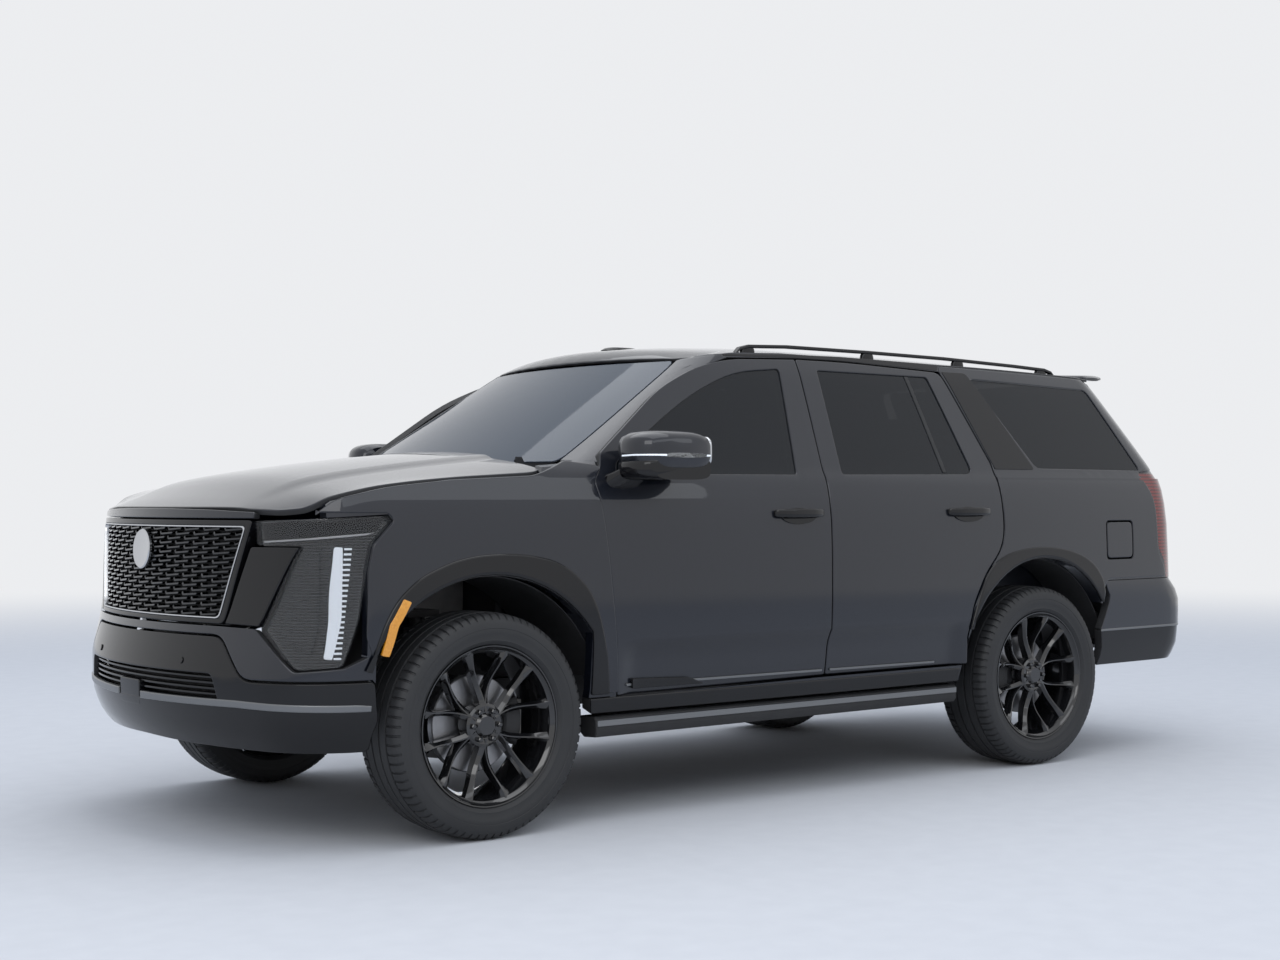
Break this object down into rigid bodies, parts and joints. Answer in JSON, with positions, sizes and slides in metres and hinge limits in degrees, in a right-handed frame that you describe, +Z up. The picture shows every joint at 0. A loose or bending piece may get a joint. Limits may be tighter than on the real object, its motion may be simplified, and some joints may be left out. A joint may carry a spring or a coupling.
{
  "type": "sport utility vehicle",
  "caption": "Full-size three-row sport utility vehicle with hinged doors, hood and liftgate, steered front wheels and a hitch receiver.",
  "frame": {"origin": "on the ground under the middle of the vehicle's length and width", "axes": "+X forward, +Y to the vehicle's left, +Z up"},
  "size_m": [5.382, 2.38, 1.9378],
  "materials": {
    "body_paint": "deep metallic black gloss paint",
    "gloss_black": "gloss black trim",
    "wheel_black": "gloss black painted alloy",
    "tyre_rubber": "dull rubber",
    "dark_glass": "privacy tint",
    "screen_glass": "light tint",
    "lamp_clear": "clear lens over a dark lamp",
    "lamp_red": "red lens",
    "black_plastic": "grained black plastic",
    "frame_steel": "black chassis paint",
    "floor_steel": "sealed floor steel",
    "cast_steel": "bare casting",
    "cast_iron": "bare casting",
    "pipe_steel": "dull stainless",
    "seat_leather": "dark leather"
  },
  "bodies": {
    "body": {"arch_flares": "gloss_black", "body_side_left": "body_paint", "body_side_right": "body_paint", "dashboard": "black_plastic", "door_posts": "gloss_black", "driveline": "frame_steel", "engine_block": "cast_iron", "exhaust": "pipe_steel", "floor_pan": "floor_steel", "frame_cross_members": "frame_steel", "frame_rails": "frame_steel", "front_bumper": "body_paint", "front_fenders": "body_paint", "front_seats": "seat_leather", "front_suspension": "frame_steel", "grille": "gloss_black", "headlamps": "lamp_clear", "hitch_receiver": "frame_steel", "quarter_glass": "dark_glass", "rear_bumper": "body_paint", "rear_seats": "seat_leather", "rear_suspension": "frame_steel", "roof_panel": "body_paint", "roof_rails": "gloss_black", "running_boards": "black_plastic", "tail_lamps": "lamp_red", "wheel_liners": "black_plastic", "windscreen": "screen_glass"},
    "door_front_left": {"front_door_left": "body_paint", "front_door_glass_left": "dark_glass", "mirror_left": "body_paint"},
    "door_rear_left": {"rear_door_left": "body_paint", "rear_door_glass_left": "dark_glass"},
    "steering_left": {"knuckle_left": "cast_steel"},
    "wheel_front_left": {"front_wheel_left": "wheel_black", "front_tyre_left": "tyre_rubber"},
    "wheel_rear_left": {"rear_wheel_left": "wheel_black", "rear_tyre_left": "tyre_rubber"},
    "door_front_right": {"front_door_right": "body_paint", "front_door_glass_right": "dark_glass", "mirror_right": "body_paint"},
    "door_rear_right": {"rear_door_right": "body_paint", "rear_door_glass_right": "dark_glass"},
    "steering_right": {"knuckle_right": "cast_steel"},
    "wheel_front_right": {"front_wheel_right": "wheel_black", "front_tyre_right": "tyre_rubber"},
    "wheel_rear_right": {"rear_wheel_right": "wheel_black", "rear_tyre_right": "tyre_rubber"},
    "hood_lid": {"hood": "body_paint"},
    "tailgate": {"liftgate": "body_paint", "liftgate_glass": "dark_glass"},
    "fuel_lid": {"fuel_door": "body_paint"},
    "steering_column_wheel": {"steering_wheel": "black_plastic"}
  },
  "joints": [
    {"name": "steer_left", "type": "hinge", "parent": "body", "child": "steering_left", "pos_m": [1.716, 0.788, 0.417], "axis": [0, 0, 1], "range_deg": [-32, 32]},
    {"name": "spin_front_left", "type": "hinge", "parent": "steering_left", "child": "wheel_front_left", "pos_m": [1.716, 0.868, 0.417], "axis": [0, 1, 0], "continuous": true},
    {"name": "spin_rear_left", "type": "hinge", "parent": "body", "child": "wheel_rear_left", "pos_m": [-1.355, 0.868, 0.417], "axis": [0, 1, 0], "continuous": true},
    {"name": "open_front_door_left", "type": "hinge", "parent": "body", "child": "door_front_left", "pos_m": [1.215, 1.01, 0.95], "axis": [0, 0, -1], "range_deg": [0, 65]},
    {"name": "open_rear_door_left", "type": "hinge", "parent": "body", "child": "door_rear_left", "pos_m": [0.05, 1.027, 0.95], "axis": [0, 0, -1], "range_deg": [0, 68]},
    {"name": "steer_right", "type": "hinge", "parent": "body", "child": "steering_right", "pos_m": [1.716, -0.788, 0.417], "axis": [0, 0, 1], "range_deg": [-32, 32]},
    {"name": "spin_front_right", "type": "hinge", "parent": "steering_right", "child": "wheel_front_right", "pos_m": [1.716, -0.868, 0.417], "axis": [0, 1, 0], "continuous": true},
    {"name": "spin_rear_right", "type": "hinge", "parent": "body", "child": "wheel_rear_right", "pos_m": [-1.355, -0.868, 0.417], "axis": [0, 1, 0], "continuous": true},
    {"name": "open_front_door_right", "type": "hinge", "parent": "body", "child": "door_front_right", "pos_m": [1.215, -1.01, 0.95], "axis": [0, 0, 1], "range_deg": [0, 65]},
    {"name": "open_rear_door_right", "type": "hinge", "parent": "body", "child": "door_rear_right", "pos_m": [0.05, -1.027, 0.95], "axis": [0, 0, 1], "range_deg": [0, 68]},
    {"name": "open_hood", "type": "hinge", "parent": "body", "child": "hood_lid", "pos_m": [1.4, 0, 1.4], "axis": [0, -1, 0], "range_deg": [0, 42]},
    {"name": "open_liftgate", "type": "hinge", "parent": "body", "child": "tailgate", "pos_m": [-2.061, 0, 1.902], "axis": [0, 1, 0], "range_deg": [0, 85]},
    {"name": "open_fuel_door", "type": "hinge", "parent": "body", "child": "fuel_lid", "pos_m": [-1.848, 0.9975, 1.045], "axis": [0, 0, -1], "range_deg": [0, 95]},
    {"name": "turn_steering_wheel", "type": "hinge", "parent": "body", "child": "steering_column_wheel", "pos_m": [0.735, 0.4, 1.135], "axis": [-0.9135, 0, 0.4067], "range_deg": [-480, 480]}
  ],
  "couplings": [
    {"joint": "steer_right", "follows": "steer_left", "ratio": 1},
    {"joint": "turn_steering_wheel", "follows": "steer_left", "ratio": 15}
  ]
}
